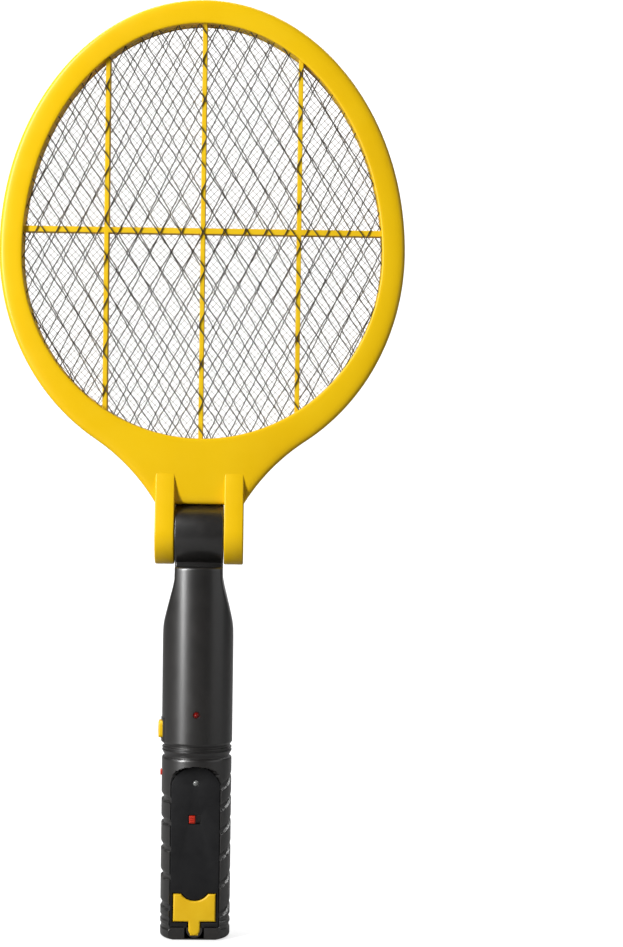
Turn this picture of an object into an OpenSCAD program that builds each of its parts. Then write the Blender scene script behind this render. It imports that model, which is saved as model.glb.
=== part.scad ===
// Electric fly swatter: an oval head with a charged grid folds on a round battery handle.
// Millimetres. The origin is the centre of the handle's flat end, +Z runs up the handle
// to the head, and -Y is the front, where the switch and the charging port are.

/* [Head] */
// Half width of the head's outer outline
head_rx = 105; // [102:0.5:108]
// Height of the widest line of the head
head_z = 357; // [352:1:362]
// Rise of the outline above the widest line
head_top = 129.8; // [126:0.2:134]
// Drop of the lower ellipse below the widest line, before the flare takes over
head_drop = 114.5; // [112:0.5:117]
// Half thickness of the head
head_half_t = 8; // [7.5:0.1:9]
// Half width of the open window
window_rx = 93.1; // [90:0.1:95]
// Height of the window's widest line
window_z = 355; // [352:1:358]
// Rise of the window above its widest line
window_top = 119.5; // [116:0.5:121]
// Drop of the window below its widest line
window_drop = 95; // [92:0.5:97]
// Radius of the concave flare down to the hinge arms
flare_r = 105; // [100:1:110]
// Lower edge of the neck plate between the arms
plate_z = 226; // [225.9:0.1:228]
// Wall of the head's shells
head_wall = 1.8; // [1.6:0.1:2]

/* [Meshes] */
// Width of one diamond of the guard mesh
cell_w = 11.2; // [10:0.1:13]
// Height of one diamond of the guard mesh
cell_h = 19.5; // [18:0.1:22]
// Width of a strand
strand = 0.9; // [0.7:0.1:1.2]
// Spacing of the wires of the charged centre grid
grid_pitch = 8; // [7:0.5:12]
// Width and thickness of a wire of the centre grid
grid_wire = 0.5; // [0.4:0.1:0.6]
// Turn of the front guard mesh in its own plane
front_mesh_turn = 4.5; // [0:0.5:8]
// Spacing of the upright ribs
rib_pitch = 49.9; // [45:0.1:52]
// Height of the cross rib
rib_z = 367.6; // [355:0.1:375]

/* [Hinge] */
// Height of the fold axis
hinge_z = 210; // [209:0.5:211]
// Radius of the barrel and of the arms' round ends
knuckle_r = 15.6; // [15:0.1:16]
// Half length of the barrel
barrel_half = 12.25; // [12:0.05:12.4]
// Inner face of an arm
arm_x = 12.9; // [12.8:0.05:13]
// Thickness of an arm
arm_w = 10; // [9:0.1:10.5]
// Height at which an arm is level with the plate
arm_top_z = 241.5; // [240:0.5:244]
// Radius of the hinge bolt
bolt_r = 2.5; // [2.2:0.1:2.7]

/* [Handle] */
// Radius of the ribbed grip
grip_r = 18.2; // [18:0.1:18.4]
// Top of the ribbed grip
grip_top = 94.4; // [94:0.1:95]
// Radius of the smooth upper barrel of the handle
tube_r = 18.4; // [18.2:0.1:18.8]
// Top of the shoulder below the hinge barrel
shoulder_z = 193.8; // [193:0.1:194.2]
// Inner radius of the casing
inner_r = 16; // [15.8:0.1:16.1]
// Distance of the control panel's face in front of the axis
panel_y = 12.3; // [12.2:0.05:12.5]
// Half width of the control panel
panel_half = 12.7; // [12.5:0.05:12.8]
// Depth of the grip's grooves
groove_d = 1.2; // [0.9:0.1:1.3]
// Slope of the grooves on the right side
groove_slope = 22; // [10:1:24]

/* [Controls] */
// Height of the high-voltage push button
zap_z = 108.2; // [107:0.1:109]
// Travel of the high-voltage push button
zap_travel = 1.6; // [1:0.1:1.6]
// Height of the small side button
lamp_z = 85.5; // [85:0.1:86]
// Travel of the small side button
lamp_travel = 0.8; // [0.5:0.1:0.8]
// Height of the slide switch
switch_z = 62.5; // [60:0.1:64]
// Height of the charging lamp
charge_led_z = 81.4; // [80:0.1:82]
// Height of the high-voltage lamp
hv_led_z = 117.6; // [117:0.1:120]
// Height of the charging port
port_z = 16.5; // [16:0.1:17]

/* [Battery] */
// Radius of the cell
cell_r = 9.1; // [8.8:0.1:9.2]
// Length of the cell
cell_l = 65; // [60:0.5:65]
// Offset of the cell behind the axis
cell_y = 5.2; // [5:0.1:5.4]

/* [Hidden] */

$fn = 64;
steps = 24;
seam = 0.05;
gap = 0.1;
far = 40;
yellow = "gold";
black = [0.13, 0.13, 0.14];
dark_wire = [0.25, 0.24, 0.23];

// Head: faces, layers and fasteners
skin_y = head_half_t - head_wall;
mesh_t = 0.9;
mesh_y = skin_y - gap - mesh_t;
frame_y = 0.7;
frame_t = mesh_y - gap - frame_y;
rib_w = 2.4;
cross_rib_w = 3;
pillar_r = 1.9;
head_screw_r = 1;
side_screws = [for (t = [62, 8, -48]) window_side(5.2, t)];
neck_screw = [30, 246];
screw_places = concat(side_screws, [neck_screw]);
lip_y = 5.2;
lip_z = 225.2;
flare_t = -asin((head_z - 259.2) / head_drop);

// Hinge
arm_out = arm_x + arm_w;
bolt_bore = bolt_r + 0.05;
sleeve_r = 4;
head_pocket_r = 5;
pocket_d = 3.4;
lead_ring_r = 9.5;
stem_half = 6.2;

// Handle
pocket_half = panel_half + 0.3;
panel_t = 2.4;
ledge_y = 8.2;
ledge_z = 92.6;
arch_r = 13.7;
arch_z = 76.8;
tube_wall_top = 187;
neck_z = 163;
groove_floor = grip_r - groove_d;
side_boss = [12.4, 0];
boss_r = 2.7;
screw_r = 1.2;
side_boss_z = [26, 150];
neck_boss_z = 178;
window_half = 10.8;

// Port cover
cover_front = panel_y + 0.5;
cover_back = panel_y - 1;
cover_half = 11.4;
cover_z0 = 9;
cover_z1 = 24.2;
tongue_half = 3.45;
tongue_end = 1.7;
thumb_r = 8.1;
thumb_z = 28.6;
cover_axis = [-(panel_y - 0.6), 2.7];
cover_bead_r = 0.8;

// ---- Outlines ------------------------------------------------------------

// Points of an ellipse from angle t0 to t1, moved outwards by d
function ellipse_run(rx, rz, cz, t0, t1, n, d) = [
  for (i = [0 : n])
    let (t = t0 + (t1 - t0) * i / n, m = [cos(t) / rx, sin(t) / rz])
      [rx * cos(t), cz + rz * sin(t)] + d * m / norm(m)
];

// One point beside the window, at distance d outside its edge
function window_side(d, t) =
  ellipse_run(window_rx, t > 0 ? window_top : window_drop, window_z, t, t, 1, d)[0];

// A half outline and its mirror image, without doubling the points on the middle line
function both_sides(p) = concat(p, [for (i = [len(p) - 1 : -1 : 0]) if (p[i][0] > 0.01) [-p[i][0], p[i][1]]]);

// Edge of the window, moved outwards by d
function window_edge(d) = both_sides(concat(
  ellipse_run(window_rx, window_top, window_z, 90, 0, steps, d),
  ellipse_run(window_rx, window_drop, window_z, -90 / steps, -90, steps - 1, d)
));

// Concave flare from the lower ellipse to the arms, moved outwards by d
function flare_run(d) =
  let (
    p = [head_rx * cos(flare_t), head_z + head_drop * sin(flare_t)],
    m = [cos(flare_t) / head_rx, sin(flare_t) / head_drop],
    c = p + flare_r * m / norm(m),
    a0 = atan2(m[1], m[0]),
    a1 = -acos((c[0] - arm_out) / flare_r)
  )
  [for (i = [1 : 8]) let (a = a0 + (a1 - a0) * i / 8) c - (flare_r - d) * [cos(a), sin(a)]];

// Outer edge of the head, moved outwards by d, closed at height z
function head_edge(d, z) = both_sides(concat(
  ellipse_run(head_rx, head_top, head_z, 90, 0, steps, d),
  ellipse_run(head_rx, head_drop, head_z, flare_t / 14, flare_t, 13, d),
  flare_run(d),
  [[arm_out - 3, z]]
));

// Side view of an arm: the ramp from the plate to the round end, shrunk by d
function arm_ramp(d) =
  let (r = knuckle_r - d, a = 10)
  [
    [r * cos(a), hinge_z + r * sin(a)],
    [head_half_t - d, arm_top_z],
    [head_half_t - d, arm_top_z + 5],
    [d - head_half_t, arm_top_z + 5],
    [d - head_half_t, arm_top_z],
    [-r * cos(a), hinge_z + r * sin(a)]
  ];

// ---- Building blocks -----------------------------------------------------

// A front-view outline between two depths
module sheet(y0, y1) {
  translate([0, y1, 0])
    rotate([90, 0, 0])
      linear_extrude(y1 - y0)
        children();
}

// A side-view outline between two sideways positions
module slab(x0, x1) {
  translate([x0, 0, 0])
    rotate([90, 0, 90])
      linear_extrude(x1 - x0)
        children();
}

module box(low, high) {
  translate(low)
    cube(high - low);
}

// Round bar along X
module bar_x(x0, x1, r, y, z) {
  translate([x0, y, z])
    rotate([0, 90, 0])
      cylinder(r = r, h = x1 - x0);
}

// Round bar along Y
module bar_y(y0, y1, r, x, z) {
  translate([x, y1, z])
    rotate([90, 0, 0])
      cylinder(r = r, h = y1 - y0);
}

module round_rect(w, h, r) {
  hull()
    for (x = [r - w / 2, w / 2 - r], y = [r - h / 2, h / 2 - r])
      translate([x, y])
        circle(r, $fn = 32);
}

module front_half() {
  intersection() {
    children();
    box([-150, -far, -1], [150, -seam, 500]);
  }
}

module rear_half() {
  intersection() {
    children();
    box([-150, seam, -1], [150, far, 500]);
  }
}

function unit(v) = v / norm(v);

function heading(p, i) =
  i == 0 ? unit(p[1] - p[0]) :
  i == len(p) - 1 ? unit(p[i] - p[i - 1]) :
  unit(unit(p[i] - p[i - 1]) + unit(p[i + 1] - p[i]));

// Tube of radius r along the points p; ref is never parallel to the path
module tube(p, r, ref = [0, 1, 0], n = 8) {
  rings = [
    for (i = [0 : len(p) - 1], k = [0 : n - 1])
      let (
        t = heading(p, i),
        u = unit(cross(t, ref)),
        v = cross(t, u),
        a = 360 * k / n
      )
      p[i] + r * (cos(a) * u + sin(a) * v)
  ];
  sides = [
    for (i = [0 : len(p) - 2], k = [0 : n - 1])
      let (a = i * n + k, b = i * n + (k + 1) % n)
      each [[a, b, b + n], [a, b + n, a + n]]
  ];
  first = [for (k = [n - 1 : -1 : 0]) k];
  last = [for (k = [0 : n - 1]) (len(p) - 1) * n + k];
  polyhedron(points = rings, faces = concat([first], sides, [last]), convexity = 6);
}

// Compression spring along X
module spring_x(x0, x1, r, wire, turns, z) {
  count = turns * 12;
  path = [
    for (i = [0 : count])
      let (a = 360 * i / 12)
      [x0 + wire + (x1 - x0 - 2 * wire) * i / count, r * cos(a), z + r * sin(a)]
  ];
  tube(path, wire, [1, 0.01, 0], 6);
}

// Pan-head screw along Y: the head's seat is at y, the tip points to the front
module screw_y(x, y, z, tip, r, head_r, head_t) {
  difference() {
    union() {
      bar_y(y, y + head_t, head_r, x, z);
      bar_y(tip, y + head_t / 2, r, x, z);
    }
    box([x - head_r * 0.6, y + head_t * 0.45, z - 0.3], [x + head_r * 0.6, y + head_t + 1, z + 0.3]);
    box([x - 0.3, y + head_t * 0.45, z - head_r * 0.6], [x + 0.3, y + head_t + 1, z + head_r * 0.6]);
  }
}

// ---- Head ----------------------------------------------------------------

module at_screws() {
  for (p = screw_places, side = [-1, 1])
    translate([side * p[0], 0, p[1]])
      children();
}

module arm_outline(d) {
  polygon(arm_ramp(d));
  translate([0, hinge_z])
    circle(knuckle_r - d);
}

module head_outer() {
  sheet(-head_half_t, head_half_t)
    polygon(head_edge(0, plate_z));
  for (x = [arm_x, -arm_out])
    slab(x, x + arm_w)
      arm_outline(0);
  box([-arm_x - 1, lip_y, lip_z], [arm_x + 1, head_half_t - 0.3, plate_z + 3]);
}

module arm_hollow(x0, x1) {
  difference() {
    slab(x0, x1)
      arm_outline(2.4);
    bar_x(x0 - 1, x1 + 1, 7, 0, hinge_z);
  }
}

module head_hollow() {
  sheet(-skin_y, skin_y)
    polygon(head_edge(-2.2, plate_z + 2.2));
  arm_hollow(-arm_out + 2.2, -arm_x - 2);
  arm_hollow(arm_x + 2, arm_out - 2.2);
}

module head_shells() {
  difference() {
    union() {
      difference() {
        head_outer();
        head_hollow();
      }
      at_screws()
        bar_y(-skin_y - 0.5, skin_y + 0.5, pillar_r, 0, 0);
    }
    sheet(-far, far)
      polygon(window_edge(0));
    bar_x(-arm_out - 1, arm_out + 1, bolt_bore, 0, hinge_z);
    for (x = [-arm_out - 1, arm_out - pocket_d])
      bar_x(x, x + pocket_d + 1, head_pocket_r, 0, hinge_z);
    bar_x(-arm_x - 3, -arm_x + 1, 1.6, 0, hinge_z + lead_ring_r);
    at_screws()
      bar_y(head_half_t - 1.4, head_half_t + 1, 2.15, 0, 0);
    at_screws()
      bar_y(-skin_y + 1, head_half_t, head_screw_r + 0.03, 0, 0);
    box([-arm_x, -far, 0], [arm_x, lip_y, plate_z]);
    box([-arm_x, lip_y - 1, 0], [arm_x, far, lip_z]);
  }
}

module head_shell_front() {
  color(yellow)
    front_half()
      head_shells();
}

module head_shell_rear() {
  color(yellow)
    rear_half()
      head_shells();
}

module rib_outline() {
  difference() {
    union() {
      difference() {
        polygon(window_edge(8.2));
        polygon(window_edge(0.25));
      }
      intersection() {
        polygon(window_edge(1.5));
        union() {
          for (i = [-1 : 1])
            translate([i * rib_pitch - rib_w / 2, 200])
              square([rib_w, 300]);
          translate([-head_rx, rib_z - cross_rib_w / 2])
            square([2 * head_rx, cross_rib_w]);
        }
      }
    }
    for (p = side_screws, side = [-1, 1])
      translate([side * p[0], p[1]])
        circle(pillar_r + 0.2);
  }
}

module rib_frame_front() {
  color(yellow)
    sheet(-frame_y - frame_t, -frame_y)
      rib_outline();
}

module rib_frame_rear() {
  color(yellow)
    sheet(frame_y, frame_y + frame_t)
      rib_outline();
}

// Expanded metal: a sheet with diamonds cut out between the strands
module mesh_outline(turn) {
  cols = ceil(window_rx / cell_w) + 1;
  rows = ceil((window_top + window_drop) / cell_h) + 1;
  half = [cell_w / 2 - strand * 0.6, cell_h / 2 - strand];
  mid = window_z + (window_top - window_drop) / 2;
  difference() {
    polygon(window_edge(2.6));
    intersection() {
      polygon(window_edge(1.2));
      translate([0, mid])
        rotate(turn)
          for (i = [-2 * cols : 2 * cols], j = [-rows : rows])
            if ((i + j) % 2 == 0 && in_window(i, j, mid, turn))
              translate([i * cell_w / 2, j * cell_h / 2])
                polygon([[half[0], 0], [0, half[1]], [-half[0], 0], [0, -half[1]]]);
    }
  }
}

// True where a diamond's centre is close enough to the window to cut it
function in_window(i, j, mid, turn) =
  let (
    x = i * cell_w / 2 * cos(turn) - j * cell_h / 2 * sin(turn),
    z = mid + i * cell_w / 2 * sin(turn) + j * cell_h / 2 * cos(turn) - window_z,
    rz = z > 0 ? window_top : window_drop
  )
  pow(x / (window_rx + 4), 2) + pow(z / (rz + 7), 2) < 1;

module front_guard_mesh() {
  color(dark_wire)
    sheet(-mesh_y - mesh_t, -mesh_y)
      mesh_outline(front_mesh_turn);
}

module rear_guard_mesh() {
  color(dark_wire)
    sheet(mesh_y, mesh_y + mesh_t)
      mesh_outline(0);
}

// Crossed wires inside a rim, coarser than the real grid
module grid_outline() {
  mid = window_z + (window_top - window_drop) / 2;
  cols = floor(window_rx / grid_pitch);
  rows = floor((window_top + window_drop) / 2 / grid_pitch);
  difference() {
    polygon(window_edge(2.4));
    polygon(window_edge(1.2));
  }
  intersection() {
    polygon(window_edge(1.8));
    union() {
      for (i = [-cols : cols])
        translate([i * grid_pitch - grid_wire / 2, 200])
          square([grid_wire, 300]);
      for (j = [-rows : rows])
        translate([-head_rx, mid + j * grid_pitch - grid_wire / 2])
          square([2 * head_rx, grid_wire]);
    }
  }
}

module centre_grid() {
  color([0.75, 0.7, 0.64])
    sheet(-grid_wire / 2, grid_wire / 2)
      grid_outline();
}

// Strips that feed the grid and join the two guard meshes
module grid_contacts() {
  z0 = window_z - window_drop;
  color("goldenrod") {
    box([-4, grid_wire / 2 + 0.05, z0 - 10], [4, frame_y - 0.1, z0 - 0.4]);
    for (y = [-mesh_y - mesh_t - 0.05, mesh_y + 0.35])
      box([8, y, z0 - 14], [11, y + 0.6, z0 - 3.5]);
    box([8, -mesh_y - mesh_t + 0.55, z0 - 14], [11, mesh_y + 0.35, z0 - 13.4]);
  }
}

module head_leads() {
  z0 = window_z - window_drop;
  wire = 0.65;
  color("firebrick")
    tube([[-arm_x - 0.4, -0.8, hinge_z + lead_ring_r], [-arm_x - 2.4, -0.8, hinge_z + lead_ring_r + 0.6],
      [-arm_x - 3.6, -0.8, hinge_z + 13], [-arm_x - 3.6, -0.8, plate_z + 10],
      [-arm_x + 1, -0.8, plate_z + 17], [-2, -0.8, plate_z + 21], [0, -0.45, z0 - 9]], wire);
  color("dimgray")
    tube([[-arm_x - 0.4, 0.8, hinge_z + lead_ring_r], [-arm_x - 2.4, 0.8, hinge_z + lead_ring_r + 0.6],
      [-arm_x - 5.2, 0.8, hinge_z + 13], [-arm_x - 5.2, 0.8, plate_z + 6],
      [-arm_x + 4, 0.8, plate_z + 13], [6, 0.8, plate_z + 16], [9.5, 0.8, z0 - 14.8]], wire);
}

module head_screws() {
  color("silver")
    at_screws()
      screw_y(0, head_half_t - 1.4, 0, -skin_y + 1.2, head_screw_r, 2, 1.2);
}

// ---- Hinge ---------------------------------------------------------------

module hinge_bolt() {
  color("silver")
    difference() {
      union() {
        bar_x(-arm_out + 1, arm_out - 0.8, bolt_r, 0, hinge_z);
        bar_x(-arm_out + 0.5, -arm_out + pocket_d, 4.6, 0, hinge_z);
      }
      translate([-arm_out, 0, hinge_z])
        rotate([0, 90, 0])
          cylinder(r = 2.2, h = 2.2, $fn = 6);
    }
}

module hinge_nut() {
  color("silver")
    translate([arm_out - pocket_d, 0, hinge_z])
      rotate([0, 90, 0])
        difference() {
          cylinder(r = 4.6, h = 2.8, $fn = 6);
          translate([0, 0, -1])
            cylinder(r = bolt_r + 0.02, h = 6);
        }
}

module friction_washers() {
  color("silver")
    for (x = [barrel_half + 0.05, -arm_x + gap])
      difference() {
        bar_x(x, x + 0.5, 6.5, 0, hinge_z);
        bar_x(x - 1, x + 2, bolt_r + 0.1, 0, hinge_z);
      }
}

module hinge_sleeve() {
  color("goldenrod")
    difference() {
      bar_x(-barrel_half + 0.2, barrel_half - 0.2, sleeve_r, 0, hinge_z);
      bar_x(-barrel_half - 1, barrel_half + 1, bolt_bore, 0, hinge_z);
    }
}

// ---- Handle casing -------------------------------------------------------

// Turned profile of the handle: base, grip, fine rings, tube and shoulder
module turned_body() {
  edge = 1.6;
  rotate_extrude($fn = 96)
    polygon(concat(
      [[0, 0]],
      [for (i = [0 : 6]) let (a = -90 + 15 * i) [grip_r - edge + edge * cos(a), edge + edge * sin(a)]],
      [for (z = [5.2, 9.6]) each [[grip_r, z - 0.4], [grip_r - 0.5, z], [grip_r - 0.5, z + 1.9], [grip_r, z + 2.3]]],
      [
        [grip_r, grip_top - 0.9],
        [grip_r - 0.3, grip_top - 0.25],
        [grip_r - 1.2, grip_top + 0.2],
        [grip_r - 1.2, grip_top + 0.9],
        [grip_r, grip_top + 3.1],
        [grip_r, grip_top + 3.4],
        [grip_r - 0.8, grip_top + 3.6],
        [grip_r - 0.8, grip_top + 4],
        [grip_r - 0.1, grip_top + 4.3],
        [grip_r - 0.1, grip_top + 5],
        [grip_r - 1, grip_top + 5.4],
        [grip_r - 1, grip_top + 6],
        [tube_r, grip_top + 7.8]
      ],
      [for (i = [0 : 6]) let (a = 15 * i) [tube_r - 1.5 + 1.5 * cos(a), shoulder_z - 1.5 + 1.5 * sin(a)]],
      [[0, shoulder_z]]
    ));
}

// Front view of the neck: straight sides that open out to the full tube, shrunk by d
module neck_outline(d) {
  polygon([for (p = [
    [far - 15, -1],
    [far - 15, neck_z - 22],
    [tube_r + 0.3, neck_z - 0.8],
    [barrel_half + 1, neck_z + 20],
    [barrel_half + 0.2, neck_z + 24],
    [barrel_half, neck_z + 32]
  ]) p - [d, 0], each [for (p = [
    [-barrel_half, neck_z + 32],
    [-barrel_half - 0.2, neck_z + 24],
    [-barrel_half - 1, neck_z + 20],
    [-tube_r - 0.3, neck_z - 0.8],
    [15 - far, neck_z - 22],
    [15 - far, -1]
  ]) p + [d, 0]]]);
}

// Widening foot under the base: the face that it stands on has twelve straight sides
module base_facets() {
  cylinder(r1 = grip_r - 1.6, r2 = grip_r + 1.4, h = 1.2, $fn = 12);
  translate([0, 0, 1.2])
    cylinder(r = far, h = 240);
}

module handle_outer() {
  intersection() {
    turned_body();
    base_facets();
    sheet(-far, far)
      neck_outline(0);
  }
  box([-barrel_half, -stem_half, shoulder_z - 4], [barrel_half, stem_half, hinge_z - 8]);
  bar_x(-barrel_half, barrel_half, knuckle_r, 0, hinge_z);
  intersection() {
    slab(-tube_r - 0.4, -10)
      translate([0, zap_z])
        round_rect(14, 13, 3);
    cylinder(r = tube_r + 0.4, h = 150);
  }
}

// One slanting groove on the right side; low is the height of its lower step at the side
module groove(low, slope) {
  lead_in = 11;
  difference() {
    translate([0, 0, low])
      rotate([slope, 0, 0])
        rotate([0, 0, -62])
          rotate_extrude(angle = 126)
            polygon([[13, 0], [24, 0], [24, 2 + lead_in], [groove_floor, 2], [13, 2]]);
    translate([0, 0, -20])
      cylinder(r = groove_floor, h = 150);
  }
}

function groove_z(k) = 71.8 - 11.475 * k - 0.625 * k * k;

module grip_grooves() {
  for (k = [-1 : 4])
    groove(groove_z(k), groove_slope);
  for (k = [0 : 4])
    mirror([1, 0, 0])
      groove(groove_z(k), 4);
}

// Front view of the flat with its arched top, half width w, from z0 up
module panel_outline(w, z0, r) {
  translate([-w, z0])
    square([2 * w, arch_z - z0]);
  intersection() {
    translate([0, arch_z])
      circle(r);
    translate([-w, arch_z - 8])
      square([2 * w, 30]);
  }
}

module handle_hollow() {
  difference() {
    intersection() {
      translate([0, 0, 2.2])
        cylinder(r = inner_r, h = tube_wall_top - 2.2);
      sheet(-far, far)
        neck_outline(2.2);
    }
    box([-far, -far, 0], [far, -ledge_y, ledge_z]);
  }
  difference() {
    bar_x(-barrel_half + 2.5, barrel_half - 2.5, knuckle_r - 2.4, 0, hinge_z);
    bar_x(-barrel_half, barrel_half, 6.2, 0, hinge_z);
  }
  difference() {
    box([-9.6, 2.4 - stem_half, tube_wall_top - 4], [9.6, stem_half - 2.4, hinge_z - 5]);
    bar_x(-barrel_half, barrel_half, 6.2, 0, hinge_z);
  }
}

module handle_bosses() {
  for (z = side_boss_z, x = [-side_boss[0], side_boss[0]])
    bar_y(-9.2, 11, boss_r, x, z);
  bar_y(-17, 17, boss_r, 0, neck_boss_z);
}

module handle_screw_holes() {
  for (z = side_boss_z, x = [-side_boss[0], side_boss[0]]) {
    bar_y(8, far, 2.5, x, z);
    bar_y(-8, 9, screw_r + 0.03, x, z);
  }
  bar_y(11, far, 2.5, 0, neck_boss_z);
  bar_y(-8, 12, screw_r + 0.03, 0, neck_boss_z);
}

module handle_shells() {
  difference() {
    union() {
      difference() {
        handle_outer();
        handle_hollow();
      }
      intersection() {
        handle_bosses();
        translate([0, 0, 1])
          cylinder(r = inner_r + 0.8, h = 185);
      }
    }
    grip_grooves();
    handle_screw_holes();
    box([-far, -far, -1], [far, -panel_y, 6.3]);
    sheet(-far, -panel_y + 0.1)
      panel_outline(pocket_half, 6.3, arch_r);
    sheet(-panel_y - 1, -panel_y + panel_t + gap)
      panel_outline(pocket_half, 6.3, arch_r - 0.1);
    box([-5.8, -far, -1], [5.8, -panel_y + panel_t + gap, 8]);
    box([-window_half, -panel_y, 8], [window_half, -5, 86]);
    bar_x(-barrel_half - 1, barrel_half + 1, sleeve_r + 0.02, 0, hinge_z);
    intersection() {
      difference() {
        bar_x(-barrel_half - 1, -barrel_half + 4, lead_ring_r + 1.6, 0, hinge_z);
        bar_x(-barrel_half - 2, -barrel_half + 5, lead_ring_r - 1.6, 0, hinge_z);
      }
      box([-far, -far, hinge_z - 2], [far, far, hinge_z + 20]);
    }
    slab(-far, -12)
      translate([0, zap_z])
        round_rect(10.8, 9.5, 2.2);
    slab(-far, -12)
      translate([0, lamp_z])
        round_rect(5.4, 3.8, 1.2);
    bar_y(-far, -10, 1.6, 0, hv_led_z);
  }
}

module handle_shell_front() {
  color(black)
    front_half()
      handle_shells();
}

module handle_shell_rear() {
  color(black)
    rear_half()
      handle_shells();
}

module handle_screws() {
  color("silver") {
    for (z = side_boss_z, x = [-side_boss[0], side_boss[0]])
      screw_y(x, 8, z, -7.5, screw_r, 2.35, 1.6);
    screw_y(0, 11, neck_boss_z, -7.5, screw_r, 2.35, 1.6);
  }
}

// ---- Panel, port and controls --------------------------------------------

// Front view of the T-shaped cover, grown by g
module cover_outline(g) {
  difference() {
    translate([-cover_half - g, cover_z0 - g])
      square([2 * (cover_half + g), cover_z1 - cover_z0 + 2 * g]);
    translate([0, thumb_z])
      circle(thumb_r - g);
  }
  translate([-tongue_half - g, tongue_end + tongue_half])
    square([2 * (tongue_half + g), cover_z0 - tongue_end]);
  translate([0, tongue_end + tongue_half])
    circle(tongue_half + g);
}

module control_panel() {
  back = -panel_y + panel_t;
  color([0.17, 0.17, 0.18])
    difference() {
      union() {
        sheet(-panel_y, back)
          panel_outline(panel_half, 6.6, arch_r - 0.4);
        box([-5.5, -panel_y, 0.3], [5.5, back, 8]);
      }
      sheet(-far, -cover_back + 0.3)
        cover_outline(0.5);
      bar_x(-3.3, 3.3, 1.6, cover_axis[0], cover_axis[1]);
      box([-4.7, -far, port_z - 2.2], [4.7, 0, port_z + 2.2]);
      box([-3.6, -far, switch_z - 2.45], [2.8, 0, switch_z + 2.45]);
      bar_y(-far, 0, 1.6, 0, charge_led_z);
    }
}

module zap_button() {
  color(yellow) {
    intersection() {
      slab(-tube_r - 2, -13.2)
        translate([0, zap_z])
          round_rect(10, 8.7, 1.8);
      translate([0, 0, zap_z - 10])
        cylinder(r = tube_r + 2, h = 20, $fn = 96);
    }
    slab(-14.4, -13.2)
      translate([0, zap_z])
        round_rect(12.4, 11, 1.8);
    bar_x(-13.4, -10.9, 1.5, 0, zap_z);
  }
}

module zap_spring() {
  color("silver")
    spring_x(-13.15, -7.85, 2.4, 0.25, 6, zap_z);
}

module zap_switch() {
  color([0.2, 0.2, 0.22])
    box([-7.8, -3, zap_z - 3], [-3.3, 3, zap_z + 3]);
  color("white")
    bar_x(-9.1, -7.7, 1.7, 0, zap_z);
}

module lamp_button() {
  color("firebrick") {
    intersection() {
      slab(-grip_r - 0.8, -14.2)
        translate([0, lamp_z])
          round_rect(4.6, 3, 0.9);
      translate([0, 0, lamp_z - 10])
        cylinder(r = grip_r + 0.8, h = 20, $fn = 96);
    }
    slab(-15, -14.2)
      translate([0, lamp_z])
        round_rect(6.6, 5.2, 0.9);
    bar_x(-14.3, -11.2, 0.8, 0, lamp_z);
  }
}

module lamp_spring() {
  color("silver")
    spring_x(-14.15, -9.35, 1.5, 0.2, 6, lamp_z);
}

module lamp_switch() {
  color([0.2, 0.2, 0.22])
    box([-9.3, -2.2, lamp_z - 2.2], [-5.3, 2.2, lamp_z + 2.2]);
  color("white")
    bar_x(-10.2, -9.2, 1, 0, lamp_z);
}

// Round lamp with a domed front and a flanged foot, facing the front
module lamp(z, front, foot) {
  r = 1.5;
  bar_y(-front + r * 0.6, -foot, r, 0, z);
  intersection() {
    translate([0, -front + r, z])
      sphere(r);
    box([-r, -front - 1, z - r], [r, -front + r, z + r]);
  }
  bar_y(-foot - 1, -foot, 1.9, 0, z);
}

module hv_indicator_lamp() {
  color("red")
    lamp(hv_led_z, tube_r + 0.5, 13.4);
}

module charge_lamp() {
  color("white")
    lamp(charge_led_z, panel_y + 0.6, 7.95);
}

module slide_switch_body() {
  color("silver")
    difference() {
      box([-5.1, -9.6, switch_z - 3], [4.3, -7.95, switch_z + 3]);
      box([-3.9, -10, switch_z - 1.4], [3.1, -8.4, switch_z + 1.4]);
    }
}

module slide_switch_knob() {
  color("red") {
    box([-3.3, -panel_y - 0.2, switch_z - 2], [-0.1, -10.1, switch_z + 2]);
    box([-2.7, -10.2, switch_z - 1], [-0.7, -8.8, switch_z + 1]);
  }
}

module port_cover() {
  color(yellow) {
    sheet(-cover_front, -cover_back)
      cover_outline(0);
    bar_x(-2.2, 2.2, cover_bead_r, cover_axis[0], cover_axis[1]);
    box([-3, -cover_back - 0.2, port_z - 0.7], [3, -cover_back + 0.7, port_z + 0.7]);
  }
}

module charge_socket() {
  color("silver")
    difference() {
      box([-3.75, -10.2, port_z - 1.45], [3.75, -5, port_z + 1.45]);
      box([-3.4, -11, port_z - 0.95], [3.4, -6, port_z + 1.1]);
    }
  color([0.15, 0.15, 0.15])
    box([-2.4, -9.9, port_z - 0.35], [2.4, -5.9, port_z + 0.35]);
}

module charge_board() {
  color("darkgreen")
    difference() {
      box([-9.3, -7.9, 8], [9.3, -6.7, 88]);
      box([-3.9, -9, port_z - 1.6], [3.9, 0, port_z + 1.6]);
    }
}

module charge_chip() {
  color([0.1, 0.1, 0.1]) {
    box([-2.5, -9.3, 40], [2.5, -7.95, 44]);
    for (x = [-1.9 : 1.27 : 2])
      box([x - 0.2, -8.3, 38.8], [x + 0.2, -7.95, 45.2]);
  }
}

// ---- Electronics and battery ---------------------------------------------

module main_board() {
  color("darkgreen")
    difference() {
      box([-12.5, 0, 82], [12.5, 1.6, 166]);
      box([-20, -1, 80], [-9, 3, 118]);
      box([-20, -1, zap_z - 3.2], [-3.2, 3, zap_z + 3.2]);
      box([-20, -1, lamp_z - 2.4], [-5.2, 3, lamp_z + 2.4]);
      for (x = [-1, 1])
        box([x * 12.4 - 4, -1, 146], [x * 12.4 + 4, 3, 154]);
    }
}

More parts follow.
